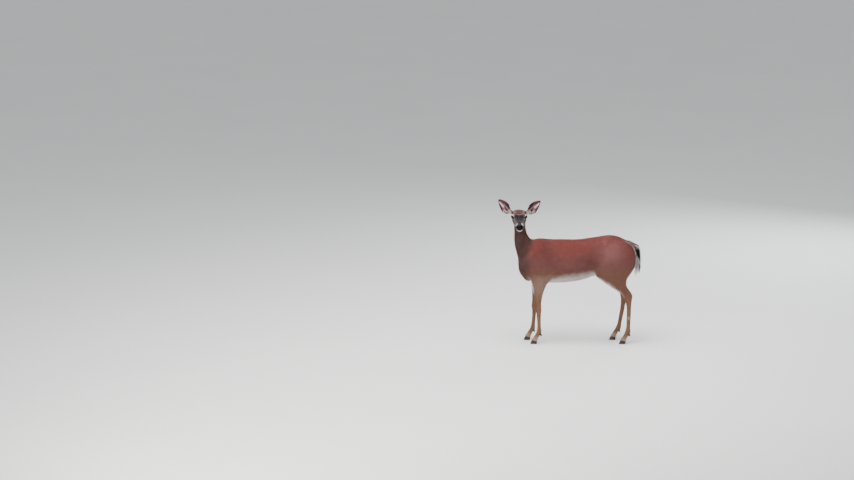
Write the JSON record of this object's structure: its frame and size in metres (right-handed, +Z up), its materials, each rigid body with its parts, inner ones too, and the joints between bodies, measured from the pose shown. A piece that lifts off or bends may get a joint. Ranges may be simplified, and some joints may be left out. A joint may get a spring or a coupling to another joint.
{
  "type": "white-tailed deer doe",
  "caption": "White-tailed deer doe in summer coat, standing still with its head turned to its left and its tail hanging; a life-size still model.",
  "frame": {"origin": "on the floor under the middle of the box around the whole doe", "axes": "+Z up, -Y the way the trunk points, +X to the doe's left, which is the way the head points"},
  "size_m": [0.373, 1.1486, 1.1711],
  "materials": {
    "coat": "short reddish-brown summer hair, matt",
    "tail_hair": "long hair, black above with a white edge and underside",
    "ear_skin": "thin skin with short hair outside and sparse white hair inside",
    "eye": "wet, very dark brown",
    "nose_leather": "moist black leather",
    "hoof_horn": "worn black-brown horn"
  },
  "bodies": {
    "root": {"trunk": "coat", "neck": "coat", "head": "coat", "tail": "tail_hair", "ear_left": "ear_skin", "ear_right": "ear_skin", "foreleg_left": "coat", "foreleg_right": "coat", "hindleg_left": "coat", "hindleg_right": "coat", "eye_left": "eye", "eye_right": "eye", "nose_pad": "nose_leather", "claw_foreleg_left_inner": "hoof_horn", "dewclaw_foreleg_left_inner": "hoof_horn", "claw_foreleg_left_outer": "hoof_horn", "dewclaw_foreleg_left_outer": "hoof_horn", "claw_foreleg_right_inner": "hoof_horn", "dewclaw_foreleg_right_inner": "hoof_horn", "claw_foreleg_right_outer": "hoof_horn", "dewclaw_foreleg_right_outer": "hoof_horn", "claw_hindleg_left_inner": "hoof_horn", "dewclaw_hindleg_left_inner": "hoof_horn", "claw_hindleg_left_outer": "hoof_horn", "dewclaw_hindleg_left_outer": "hoof_horn", "claw_hindleg_right_inner": "hoof_horn", "dewclaw_hindleg_right_inner": "hoof_horn", "claw_hindleg_right_outer": "hoof_horn", "dewclaw_hindleg_right_outer": "hoof_horn"}
  },
  "joints": []
}
